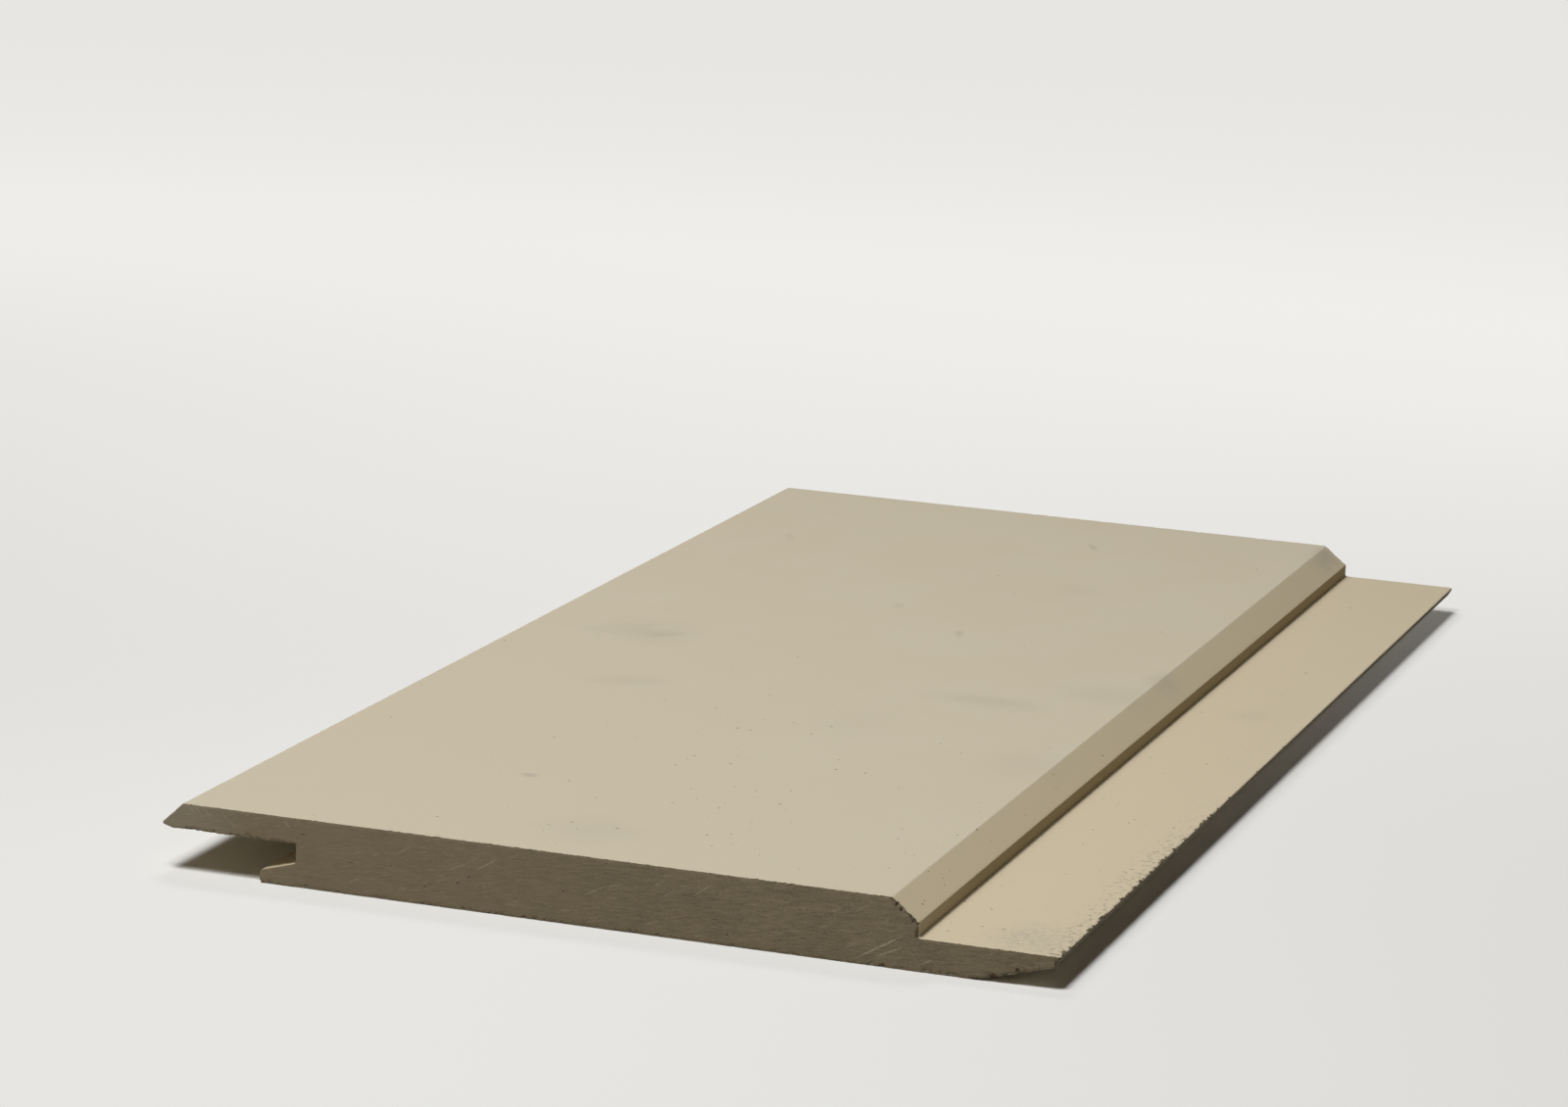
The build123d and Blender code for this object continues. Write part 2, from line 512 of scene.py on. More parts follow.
def plain_board(outline, wear):
    """The unworn board as one closed mesh.

    Both ends have fine rings that follow their chips. Between them the tongue's edge has fine rows and
    columns, and the rest of the outline has only what its flat faces and rounded corners need.
    """
    near_end, near_ring = end_mesh(outline, wear.end_step)
    far_end, far_ring = end_mesh(outline, wear.far_step)
    edge, edge_rows = tongue_edge_lines(outline, wear)
    flat, flat_rows = flat_face_lines(outline, wear, edge)
    around = np.concatenate([edge, flat])
    parts = [(at_depth(points, 0.0), triangles) for points, triangles in near_end]
    parts += [(at_depth(points, BOARD_LENGTH), triangles[:, ::-1]) for points, triangles in far_end]
    parts += [
        swept(outline, near_ring, END_ROWS),
        swept(outline, far_ring, BOARD_LENGTH - END_ROWS[::-1]),
        swept(outline, edge, edge_rows),
        swept(outline, flat, flat_rows),
        seam_strip(outline, edge[-1], edge_rows, flat[0], flat_rows),
        seam_strip(outline, flat[-1], flat_rows, edge[0], edge_rows),
        ring_strip(outline, near_ring, END_ROWS[-1], around, FIRST_ROW),
        ring_strip(outline, far_ring, BOARD_LENGTH - END_ROWS[-1], around, LAST_ROW),
    ]
    return weld(parts)


# How far from an end its chips reach, the cuts from which a point is bare and deep in a chip, and how worn,
# from 0 to 1, the points of shallow and of deep chips are.
CHIP_REACH = 3 * MM
BARE_CUT = 0.06 * MM
DEEP_CUT = 0.4 * MM
SHALLOW_WEAR = 0.55
DEEP_WEAR = 0.85
ROOT_TWO = math.sqrt(2)


def nearest_along(outline, section):
    """For each point of the section, the distance along the outline of the nearest place on it."""
    step = 0.1 * MM
    batches = 64
    along = np.linspace(0, outline.length, round(outline.length / step), endpoint=False)
    places = outline.at(along)
    squares = (places**2).sum(axis=1)
    nearest = [(squares - 2 * some @ places.T).argmin(axis=1) for some in np.array_split(section, batches)]
    return along[np.concatenate(nearest)]


def end_cut(points, outline, seed, from_end):
    """How deep the points near a sawn end lie in its broken edge, and which way out of it they face.

    The edge is broken along a ragged plane at half a right angle: a point is cut by the depth of the chip
    there, less its distances from the outline and from the end over the root of two.
    """
    section = points[:, [0, 2]]
    along = nearest_along(outline, section)
    outward = outline.outward(along)
    inset = np.clip(((outline.at(along) - section) * outward).sum(axis=1), 0, None)
    uneven = value_noise(along / (0.5 * MM), (inset - from_end) / (0.5 * MM), seed + 3)
    deepest, share = outline.chips_at(along)
    depth = deepest * (0.25 * share + ragged(along, share, seed)) * (0.6 + 0.8 * uneven)
    return depth - (inset + from_end) / ROOT_TWO, outward


def chip_end(points, worn, outline, wear, far):
    """Break the edges of one sawn end, make its flat uneven, and note how worn its points are.

    A point that is cut moves as far into the section as along the board, onto the broken plane.
    """
    seed = wear.seed + 10 if far else wear.seed
    inward = -1 if far else 1
    from_end = BOARD_LENGTH - points[:, 1] if far else points[:, 1]
    near = np.flatnonzero(from_end < CHIP_REACH)
    on_end = near[from_end[near] < TINY]
    cut, outward = end_cut(points[near], outline, seed, from_end[near])
    away = np.clip(cut, 0, None) / ROOT_TWO
    strokes = value_noise(points[on_end, 0] / (3 * MM), points[on_end, 2] / (0.8 * MM), seed + 4)
    points[on_end, 1] += inward * wear.saw_relief * strokes
    points[near, 0] -= outward[:, 0] * away
    points[near, 2] -= outward[:, 1] * away
    points[near, 1] += inward * away
    deep = np.clip(cut / DEEP_CUT, 0, 1)
    worn[near] = np.clip(cut / BARE_CUT, 0, 1) * (SHALLOW_WEAR + (1 - SHALLOW_WEAR) * deep)


def chip_tongue_edge(points, worn, wear, tongue_height):
    """Break the tongue's outer edge along the board, most heavily by the near end, and note how worn it is.

    The edge is broken along a ragged plane at half a right angle, and the tip is bare below it, darkened
    partly with painted shade.
    """
    edge = np.flatnonzero(points[:, 0] > BOARD_WIDTH - 4 * MM)
    along = points[edge, 1]
    heavy = 1 - np.clip((along - 0.35 * wear.tongue_wear_length) / wear.tongue_wear_length, 0, 1)
    uneven = value_noise(along / (0.5 * MM), points[edge, 2] / (0.5 * MM), wear.seed + 23)
    bites = ragged(along, 0.15 + 0.35 * heavy, wear.seed + 20)
    depth = wear.tongue_chip * (0.25 + 0.75 * heavy) * bites * (0.7 + 0.6 * uneven)
    cut = (points[edge, 0] - BOARD_WIDTH + points[edge, 2] - tongue_height) / ROOT_TWO + depth
    away = np.clip(cut, 0, None) / ROOT_TWO
    points[edge, 0] -= away
    points[edge, 2] -= away
    # Below the land the tip's side is marked as fully worn: bare cement, darkened with painted shade where
    # it faces away from the light.
    below = np.clip((tongue_height - 0.15 * MM - points[edge, 2]) / (0.1 * MM), 0, 1)
    outer = np.clip((points[edge, 0] - BOARD_WIDTH + 1.4 * MM) / (0.2 * MM), 0, 1)
    bare = np.maximum(np.clip(cut / BARE_CUT, 0, 1), below * outer)
    worn[edge] = np.maximum(worn[edge], bare)


def worn_board(points, outline, wear, tongue_height):
    """The points after chipping, and from 0 to 1 how worn the board is at each of them.

    Chips only take away, so no point leaves the box of the unworn board.
    """
    points = points.copy()
    worn = np.zeros(len(points))
    for far in (False, True):
        chip_end(points, worn, outline, wear, far)
    chip_tongue_edge(points, worn, wear, tongue_height)
    return points, worn


PRIMED, SAWN, BACK = 0, 1, 2


def face_finishes(points, triangles):
    """Which finish each triangle of the unworn board has: primed sides, sawn ends or the plain back."""
    along = points[triangles, 1]
    height = points[triangles, 2]
    finish = np.full(len(triangles), PRIMED)
    finish[(height < TINY).all(axis=1)] = BACK
    finish[(along < TINY).all(axis=1) | (along > BOARD_LENGTH - TINY).all(axis=1)] = SAWN
    return finish


SHARP_ANGLE = math.radians(32)


def mesh_from_arrays(name, points, triangles, finishes, worn):
    """A Blender mesh from whole arrays, smooth except at sharp edges, with the wear as a point attribute."""
    mesh = bpy.data.meshes.new(name)
    mesh.vertices.add(len(points))
    mesh.vertices.foreach_set("co", points.astype(np.float32).ravel())
    mesh.loops.add(triangles.size)
    mesh.loops.foreach_set("vertex_index", triangles.astype(np.int32).ravel())
    mesh.polygons.add(len(triangles))
    mesh.polygons.foreach_set("loop_start", np.arange(0, triangles.size, 3, dtype=np.int32))
    mesh.polygons.foreach_set("material_index", finishes.astype(np.int32))
    mesh.update(calc_edges=True)
    mesh.polygons.foreach_set("use_smooth", np.ones(len(triangles), dtype=bool))
    mesh.set_sharp_from_angle(angle=SHARP_ANGLE)
    mesh.attributes.new("worn", "FLOAT", "POINT").data.foreach_set("value", worn.astype(np.float32))
    mesh.validate()
    return mesh


def wire(tree, socket, value):
    """Feed a socket from another socket, or give it a plain value."""
    if isinstance(value, bpy.types.NodeSocket):
        tree.links.new(value, socket)
    elif hasattr(value, "__len__") and socket.type == "RGBA":
        socket.default_value = (*value[:3], 1)
    else:
        socket.default_value = value


def add_node(tree, kind, inputs=(), **settings):
    """A new node with its settings, and with inputs fed by name or by number."""
    node = tree.nodes.new(kind)
    for name, value in settings.items():
        setattr(node, name, value)
    for key, value in dict(inputs).items():
        wire(tree, node.inputs[key], value)
    return node


def calculate(tree, operation, first, second=0.0, clamp=False):
    """The result of one sum on two numbers."""
    node = add_node(tree, "ShaderNodeMath", {0: first, 1: second}, operation=operation, use_clamp=clamp)
    return node.outputs[0]


def remap(tree, value, low, high, to_low=0.0, to_high=1.0):
    """A smooth step from one value to another while the input goes from low to high."""
    inputs = {"Value": value, "From Min": low, "From Max": high, "To Min": to_low, "To Max": to_high}
    return add_node(tree, "ShaderNodeMapRange", inputs, interpolation_type="SMOOTHSTEP").outputs[0]


def mix_colours(tree, factor, first, second):
    """The first colour where the factor is 0 and the second where it is 1."""
    node = add_node(tree, "ShaderNodeMix", {0: factor, 6: first, 7: second}, data_type="RGBA")
    return node.outputs[2]


def vector_sum(tree, operation, first, second):
    """The outputs of one sum on two vectors."""
    return add_node(tree, "ShaderNodeVectorMath", {0: first, 1: second}, operation=operation).outputs


def stretch_vector(tree, vector, scale):
    """The coordinates times a scale for each axis."""
    return vector_sum(tree, "MULTIPLY", vector, scale)[0]


def noise(tree, vector, size, detail=2.0, roughness=0.5):
    """Cloudy values around a half, whose patches are about this size in metres."""
    inputs = {"Vector": vector, "Scale": 1 / size, "Detail": detail, "Roughness": roughness}
    return add_node(tree, "ShaderNodeTexNoise", inputs).outputs[0]


def new_group(name, inputs, outputs):
    """An empty shader node group with named sockets. Returns the tree, its inputs and its output node."""
    tree = bpy.data.node_groups.new(name, "ShaderNodeTree")
    for label, kind, value in inputs:
        socket = tree.interface.new_socket(label, in_out="INPUT", socket_type=kind)
        if value is not None:
            socket.default_value = value
    for label, kind in outputs:
        tree.interface.new_socket(label, in_out="OUTPUT", socket_type=kind)
    return tree, tree.nodes.new("NodeGroupInput").outputs, tree.nodes.new("NodeGroupOutput")


VECTOR, FLOAT, COLOUR = "NodeSocketVector", "NodeSocketFloat", "NodeSocketColor"


def specks_group():
    """Scattered round specks: a share of the cells of a random pattern have one, each with its own size."""
    inputs = [
        ("Vector", VECTOR, None),
        ("Spacing", FLOAT, 5 * MM),
        ("Size", FLOAT, 0.1),
        ("Share", FLOAT, 0.5),
    ]
    tree, given, result = new_group("Specks", inputs, [("Mask", FLOAT)])
    scale = calculate(tree, "DIVIDE", 1.0, given["Spacing"])
    cells = add_node(tree, "ShaderNodeTexVoronoi", {"Vector": given["Vector"], "Scale": scale})
    random = add_node(tree, "ShaderNodeSeparateColor", {0: cells.outputs["Color"]})
    radius = calculate(tree, "MULTIPLY", given["Size"], remap(tree, random.outputs[1], 0, 1, 0.4, 1))
    inner = calculate(tree, "MULTIPLY", radius, 0.55)
    spot = remap(tree, cells.outputs["Distance"], inner, radius, 1, 0)
    chosen = calculate(tree, "LESS_THAN", random.outputs[0], given["Share"])
    wire(tree, result.inputs["Mask"], calculate(tree, "MULTIPLY", spot, chosen))
    return tree


def smudge_group():
    """A soft patch, turned about the upright: full at its centre, and gone at its half size or so."""
    inputs = [
        ("Vector", VECTOR, None),
        ("Centre", VECTOR, None),
        ("Half size", VECTOR, None),
        ("Turn", FLOAT, 0.0),
    ]
    tree, given, result = new_group("Smudge", inputs, [("Mask", FLOAT)])
    offset = vector_sum(tree, "SUBTRACT", given["Vector"], given["Centre"])[0]
    back = {"Vector": offset, "Angle": calculate(tree, "MULTIPLY", given["Turn"], -1.0)}
    turned = add_node(tree, "ShaderNodeVectorRotate", back, rotation_type="Z_AXIS").outputs[0]
    share = vector_sum(tree, "DIVIDE", turned, given["Half size"])[0]
    away = add_node(tree, "ShaderNodeVectorMath", {0: share}, operation="LENGTH").outputs["Value"]
    cloud = calculate(tree, "SUBTRACT", noise(tree, given["Vector"], 7 * MM, 3.0), 0.5)
    cloudy_away = calculate(tree, "ADD", away, calculate(tree, "MULTIPLY", cloud, 0.8))
    wire(tree, result.inputs["Mask"], remap(tree, cloudy_away, 0.0, 1.0, 1, 0))
    return tree


def cement_group():
    """Bare fibre cement: fine grain, soft clouds, and flat layers with light hairs and dark dashes.

    Layers, hairs and dashes are noise that is squeezed to a few tenths of a millimetre in the thickness.
    Each part adds its weight times the contrast to the tone, which mixes the dark and the light colour.
    """
    inputs = [
        ("Vector", VECTOR, None),
        ("Dark", COLOUR, None),
        ("Light", COLOUR, None),
        ("Contrast", FLOAT, 1.0),
        ("Tone", FLOAT, 0.5),
    ]
    outputs = [("Color", COLOUR), ("Height", FLOAT)]
    tree, given, result = new_group("Fibre cement", inputs, outputs)

    def layers(length, height, detail):
        squeezed = stretch_vector(tree, given["Vector"], (1 / length, 1 / length, 1 / height))
        return noise(tree, squeezed, 1.0, detail, 0.6)

    tone = given["Tone"]
    grain = noise(tree, given["Vector"], 0.5 * MM, 3.0, 0.65)
    clouds = noise(tree, given["Vector"], 6 * MM)
    for part, weight in ((grain, 0.28), (layers(2.6 * MM, 0.4 * MM, 2.0), 0.26), (clouds, 0.13)):
        weighed = calculate(tree, "MULTIPLY", calculate(tree, "SUBTRACT", part, 0.5), weight)
        tone = calculate(tree, "ADD", tone, calculate(tree, "MULTIPLY", weighed, given["Contrast"]))
    hairs = remap(tree, layers(2.8 * MM, 0.3 * MM, 1.0), 0.64, 0.76, 0.0, 0.36)
    dashes = remap(tree, layers(2.2 * MM, 0.3 * MM, 1.0), 0.67, 0.79, 0.0, 0.26)
    strokes = calculate(tree, "SUBTRACT", hairs, dashes)
    tone = calculate(tree, "ADD", tone, calculate(tree, "MULTIPLY", strokes, given["Contrast"]))
    tone = remap(tree, tone, 0.1, 0.9)
    wire(tree, result.inputs["Color"], mix_colours(tree, tone, given["Dark"], given["Light"]))
    wire(tree, result.inputs["Height"], tone)
    return tree


def mark_group():
    """A straight mark between two places: full on its line, gone at its half width and thin at its ends.

    The point of the line that is nearest to a place is found by projecting the place's offset from the start
    on the step from the start to the end. The cover breaks the mark up.
    """
    inputs = [
        ("Vector", VECTOR, None),
        ("Start", VECTOR, None),
        ("Step", VECTOR, None),
        ("Half width", FLOAT, 0.2 * MM),
        ("Cover", FLOAT, 1.0),
    ]
    tree, given, result = new_group("Mark", inputs, [("Mask", FLOAT)])
    step = given["Step"]
    offset = vector_sum(tree, "SUBTRACT", given["Vector"], given["Start"])[0]
    along = vector_sum(tree, "DOT_PRODUCT", offset, step)["Value"]
    square = vector_sum(tree, "DOT_PRODUCT", step, step)["Value"]
    share = calculate(tree, "DIVIDE", along, square, clamp=True)
    nearest = add_node(tree, "ShaderNodeVectorMath", {0: step, "Scale": share}, operation="SCALE").outputs[0]
    away = vector_sum(tree, "DISTANCE", offset, nearest)["Value"]
    to_end = calculate(tree, "MINIMUM", share, calculate(tree, "SUBTRACT", 1.0, share))
    half = calculate(tree, "MULTIPLY", given["Half width"], remap(tree, to_end, 0, 0.3, 0.3, 1))
    line = remap(tree, away, calculate(tree, "MULTIPLY", half, 0.2), half, 1, 0)
    wire(tree, result.inputs["Mask"], calculate(tree, "MULTIPLY", line, given["Cover"]))
    return tree


def new_material(name, roughness, mirroring):
    """A material with its shader and its object coordinates. Returns it, its tree, the shader and those."""
    material = bpy.data.materials.new(name)
    material.use_nodes = True
    tree = material.node_tree
    shader = tree.nodes["Principled BSDF"]
    shader.inputs["Roughness"].default_value = roughness
    shader.inputs["Specular IOR Level"].default_value = mirroring
    place = tree.nodes.new("ShaderNodeTexCoord").outputs["Object"]
    return material, tree, shader, place


def place_group(tree, group, **inputs):
    """A node group placed in a tree, with its inputs by name."""
    node = add_node(tree, "ShaderNodeGroup", node_tree=group)
    for name, value in inputs.items():
        wire(tree, node.inputs[name.replace("_", " ")], value)
    return node.outputs


def bump(tree, height, depth):
    """Normals for a height from 0 to 1 that stands for this depth in metres."""
    return add_node(tree, "ShaderNodeBump", {"Height": height, "Distance": depth}).outputs[0]


# Grey marks on the face and the tongue: the centre across and along and the half sizes in millimetres, the
# turn in degrees, and how strong the mark is.
MARKS = (
    (-70, 4.5, 22, 19, 0, 0.34),
    (-65, 4, 11, 9, 0, 0.55),
    (-53, -52, 16, 7, 25, 0.26),
    (33, -28, 23, 11, -5, 0.34),
    (71, 19, 12, 15, 0, 0.5),
    (60, -6, 20, 18, 0, 0.24),
    (60, -88, 15, 22, 0, 0.18),
    (12, -68, 14, 30, 0, 0.1),
    (19, 119, 10, 13, 0, 0.15),
    (-10, -198, 18, 18, 0, 0.26),
    (6, 180, 1.7, 8, 23, 0.75),
    (-76, 147, 2.0, 9, 18, 0.32),
    (5, 45, 1.8, 6, 20, 0.7),
    (-20, 71, 2.4, 5, 20, 0.35),
    # A small dent, drawn only as a dark mark in colour: painted shade in its hollow.
    (-40.5, -156.5, 3.2, 2.8, 0, 0.8),
    (90, 26, 10, 12, 0, 0.2),
    (71, 208, 8, 20, 0, 1.0),
)


# Light scratches on the near sawn end: where each starts and ends, as places across from the nose and up
# from the back in millimetres, and how strong it is.
SCRATCHES = (
    (6.3, 15.3, 7.8, 14.2, 0.5),
    (8.0, 15.3, 9.6, 13.8, 0.4),
    (10.0, 15.1, 11.7, 13.8, 0.5),
    (14.0, 15.3, 15.6, 13.6, 0.35),
    (16.0, 13.3, 17.8, 12.0, 0.35),
    (21.9, 14.2, 23.7, 14.9, 0.35),
    (29.4, 14.9, 31.0, 13.5, 0.6),
    (25.6, 3.5, 27.2, 2.5, 0.5),
    (45.6, 2.9, 48.1, 4.0, 0.3),
    (51.0, 9.6, 52.6, 10.5, 0.3),
    (57.2, 11.0, 60.2, 13.1, 0.35),
    (66.0, 5.4, 69.0, 6.9, 0.2),
    (67.0, 7.0, 68.8, 7.8, 0.25),
    (68.7, 8.5, 73.5, 10.7, 0.35),
    (70.6, 6.2, 72.2, 7.2, 0.25),
    (73.5, 10.9, 76.5, 12.7, 0.2),
    (75.6, 9.4, 80.7, 12.7, 0.55),
    (77.5, 8.6, 80.5, 10.3, 0.2),
    (101.1, 7.0, 106.1, 9.7, 0.4),
    (106.0, 9.7, 110.4, 10.7, 0.3),
    (115.9, 2.5, 118.9, 3.6, 0.45),
    (117.0, 11.0, 120.0, 13.1, 0.4),
    (118.5, 8.6, 122.0, 10.7, 0.35),
    (126.7, 10.5, 130.7, 13.3, 0.4),
    (158.0, 10.7, 160.6, 12.3, 0.45),
    (155.4, 6.8, 157.2, 7.7, 0.4),
    (161.3, 3.1, 163.9, 4.4, 0.4),
    (163.5, 11.6, 166.1, 13.3, 0.5),
    (164.3, 1.4, 174.3, 7.5, 0.9),
    (165.9, 5.3, 167.2, 6.0, 0.35),
    (168.7, 2.3, 174.3, 4.9, 0.75),
    (169.3, 9.6, 171.3, 10.9, 0.45),
    (172.6, 2.2, 174.4, 2.9, 0.4),
    (178.1, 1.4, 181.3, 3.1, 0.6),
    (193.9, 5.9, 195.0, 6.6, 0.35),
    (198.9, 4.2, 200.4, 4.9, 0.4),
)

# Dark pits in the near sawn end: the place across and up and the length, in millimetres.
PITS = (
    (34.4, 12.3, 1.6),
    (45.8, 7.3, 1.2),
    (55.4, 7.9, 0.5),
    (63.7, 4.2, 0.5),
    (71.5, 6.0, 0.6),
    (74.1, 7.7, 0.6),
    (96.3, 7.3, 0.5),
    (102.8, 3.7, 0.5),
    (104.6, 8.7, 0.4),
    (106.1, 14.8, 0.4),
    (123.7, 4.7, 0.6),
    (131.9, 11.3, 0.5),
    (134.6, 2.5, 0.6),
    (152.2, 4.1, 1.0),
    (155.7, 9.1, 0.4),
    (161.9, 13.0, 0.6),
)


def primer_colour(tree, finish, place, shoulder):
    """The clean primer: faint patches on the face, painted shade on the bevels, a warmer tint on the tongue
    and painted shade on the shoulder's wall.

    The shoulder's top edge is given as a place across and up. The tongue lies below it, and so does the
    wall, whose painted shade is weaker by the near end, as painted light.
    """
    across, along, height = add_node(tree, "ShaderNodeSeparateXYZ", {0: place}).outputs
    patches = remap(tree, noise(tree, place, 30 * MM, 3.0), 0.35, 0.65)
    colour = mix_colours(tree, patches, finish.primer, finish.primer_grey)
    # Everything below the face's flat, down to the shoulder's top edge, takes the bevels' painted shade.
    on_face = remap(tree, height, BOARD_THICKNESS - 0.195 * MM, BOARD_THICKNESS - 0.055 * MM)
    colour = mix_colours(tree, on_face, finish.primer_bevel_shade, colour)
    wall, edge = shoulder
    # The warmer tint goes on everything below the shoulder's top edge.
    above = remap(tree, height, edge - 0.275 * MM, edge + 0.125 * MM)
    colour = mix_colours(tree, above, finish.primer_warm, colour)
    # Painted shade: the shoulder's wall is darkened in colour, and less so by the near end, where it is
    # painted lighter.
    beside = remap(tree, calculate(tree, "SUBTRACT", across, wall), 0.03 * MM, 0.25 * MM, 1, 0)
    painted_wall_shade = calculate(tree, "MULTIPLY", beside, calculate(tree, "SUBTRACT", 1.0, above))
    painted_wall_shade = calculate(tree, "MULTIPLY", painted_wall_shade, remap(tree, along, -215 * MM, -160 * MM, 0.5, 1.0))
    return mix_colours(tree, painted_wall_shade, colour, finish.primer_wall_shade)


# Half height of every grey mark, so that one on the face stays off the tongue.
MARK_HALF_HEIGHT = 6 * MM


def grey_marks(tree, groups, place, wall):
    """How grey the primer is: the strongest mark at each place. Those past the wall lie on the tongue."""
    strongest = 0.0
    for across, along, half_across, half_along, turn, strength in MARKS:
        height = BOARD_THICKNESS if across * MM < wall else BOARD_THICKNESS / 2
        smudge = place_group(
            tree,
            groups["smudge"],
            Vector=place,
            Centre=(across * MM, along * MM, height),
            Half_size=(half_across * MM, half_along * MM, MARK_HALF_HEIGHT),
            Turn=math.radians(turn),
        )
        mark = calculate(tree, "MULTIPLY", smudge["Mask"], strength)
        strongest = calculate(tree, "MAXIMUM", strongest, mark)
    return strongest


def bloom_masks(tree, groups, place):
    """A grey speckled patch by the tongue's near end, and the small craters in it."""
    centre = (95 * MM, -209 * MM, BOARD_THICKNESS / 2)
    half = (14 * MM, 18 * MM, MARK_HALF_HEIGHT)
    soft = place_group(tree, groups["smudge"], Vector=place, Centre=centre, Half_size=half)["Mask"]
    mottle = remap(tree, noise(tree, place, 1.2 * MM, 3.0, 0.7), 0.42, 0.58, 0.1, 0.9)
    craters = place_group(tree, groups["specks"], Vector=place, Spacing=2.2 * MM, Size=0.2, Share=0.45)
    return calculate(tree, "MULTIPLY", soft, mottle), calculate(tree, "MULTIPLY", craters["Mask"], soft)


def fissure_mask(tree, place, across, along):
    """Fine cracks that run across the tongue by its outer edge, most of them by the near end."""
    by_edge = remap(tree, across, BOARD_HIGH.x - 11 * MM, BOARD_HIGH.x - 1 * MM)
    by_edge = calculate(tree, "MULTIPLY", by_edge, remap(tree, along, -130 * MM, -20 * MM, 1, 0))
    lines = noise(tree, stretch_vector(tree, place, (1 / 1.2, 1 / 0.45, 1.0)), 1 * MM, 1.0)
    likely = calculate(tree, "ADD", lines, calculate(tree, "MULTIPLY", by_edge, 0.1))
    return calculate(tree, "MULTIPLY", remap(tree, likely, 0.72, 0.8), by_edge)


def pinhole_mask(tree, groups, place, across, along):
    """Pinholes in the primer, fewer of them away from the near end and towards the lip."""
    near_end = remap(tree, along, -170 * MM, 20 * MM, 0.95, 0.06)
    share = calculate(tree, "MULTIPLY", near_end, remap(tree, across, -60 * MM, 40 * MM, 0.15, 1.0))
    holes = place_group(tree, groups["specks"], Vector=place, Spacing=3.5 * MM, Size=0.11, Share=share)
    return holes["Mask"]


def broken_edges(tree, finish, groups, place):
    """Where the primer is chipped off, and the colour and the height of the crumbling cement under it,
    darkened by painted shade deep in the chips.
    """
    cement = place_group(
        tree,
        groups["cement"],
        Vector=place,
        Dark=finish.cement_dark,
        Light=finish.cement_light,
        Contrast=1.6,
    )
    worn = add_node(tree, "ShaderNodeAttribute", attribute_name="worn").outputs["Fac"]
    crumbs = noise(tree, place, 0.5 * MM, 2.0)
    uneven = calculate(tree, "MULTIPLY", calculate(tree, "SUBTRACT", crumbs, 0.5), 0.9)
    bare = remap(tree, calculate(tree, "ADD", worn, uneven), 0.35, 0.6)
    # Deep chips are darkened towards the pit colour: dark crumbs, and painted shade in the broken edge.
    deep = remap(tree, worn, SHALLOW_WEAR, DEEP_WEAR, 0.25, 1.0)
    dark = calculate(tree, "MULTIPLY", remap(tree, crumbs, 0.38, 0.6, 0.15, 0.65), deep)
    colour = mix_colours(tree, dark, cement["Color"], finish.pit)
    colour = mix_colours(tree, remap(tree, crumbs, 0.4, 0.3, 0.0, 0.6), colour, finish.cement_fresh)
    return bare, colour, calculate(tree, "MULTIPLY", cement["Height"], bare)


def primer_material(finish, groups, shoulder):
    """Cream primer: matte, with grey marks, cracks and pinholes, painted shade on the bevels and the
    shoulder's wall, and bare cement where it is chipped off.
    """
    material, tree, shader, place = new_material("cream_primer", roughness=0.85, mirroring=0.08)
    across, along, _ = add_node(tree, "ShaderNodeSeparateXYZ", {0: place}).outputs
    marks = grey_marks(tree, groups, place, shoulder[0])
    bloom, craters = bloom_masks(tree, groups, place)
    fissures = fissure_mask(tree, place, across, along)
    pinholes = pinhole_mask(tree, groups, place, across, along)
    bare, broken, broken_height = broken_edges(tree, finish, groups, place)
    colour = primer_colour(tree, finish, place, shoulder)
    for mask, strength, tint in (
        (marks, 1.0, finish.smudge),
        (bloom, 1.0, finish.bloom),
        (craters, 0.45, finish.pinhole),
        (fissures, 0.7, finish.pit),
        (pinholes, 0.8, finish.pinhole),
        (bare, 1.0, broken),
    ):
        colour = mix_colours(tree, calculate(tree, "MULTIPLY", mask, strength), colour, tint)
    wire(tree, shader.inputs["Base Color"], colour)
    hollows = calculate(tree, "MAXIMUM", pinholes, calculate(tree, "MAXIMUM", fissures, craters))
    fine = calculate(tree, "MULTIPLY", noise(tree, place, 0.6 * MM, 3.0, 0.6), 0.25)
    height = calculate(tree, "ADD", calculate(tree, "SUBTRACT", fine, hollows), broken_height)
    wire(tree, shader.inputs["Normal"], bump(tree, height, 0.12 * MM))
    return material


def end_marks(tree, groups, place):
    """The pits and the scratches of the near sawn end, as two masks.

    Places are squashed along the board before the marks are drawn, so that a mark stays on its own end.
    """
    pit_half_width = 0.22 * MM
    scratch_half_width = 0.26 * MM
    squash = np.array([1.0, 0.02, 1.0])
    squashed = stretch_vector(tree, place, squash)
    cover = remap(tree, noise(tree, place, 0.8 * MM, 2.0, 0.6), 0.35, 0.55, 0.25, 1.0)

    def mark(across, up, across_end, up_end, half_width):
        line = place_group(
            tree,
            groups["mark"],
            Vector=squashed,
            Start=(np.array([across, 0, up]) * MM + np.array(BOARD_LOW)) * squash,
            Step=np.array([across_end - across, 0, up_end - up]) * MM,
            Half_width=half_width,
            Cover=cover,
        )
        return line["Mask"]

    pits = 0.0
    for across, up, length in PITS:
        half = length / 2
        pit = mark(across - half, up, across + half, up + 0.1 * length, pit_half_width)
        pits = calculate(tree, "MAXIMUM", pits, pit)
    scratches = 0.0
    for across, up, across_end, up_end, strength in SCRATCHES:
        scratch = mark(across, up, across_end, up_end, scratch_half_width)
        scratches = calculate(tree, "MAXIMUM", scratches, calculate(tree, "MULTIPLY", scratch, strength))
    return pits, scratches


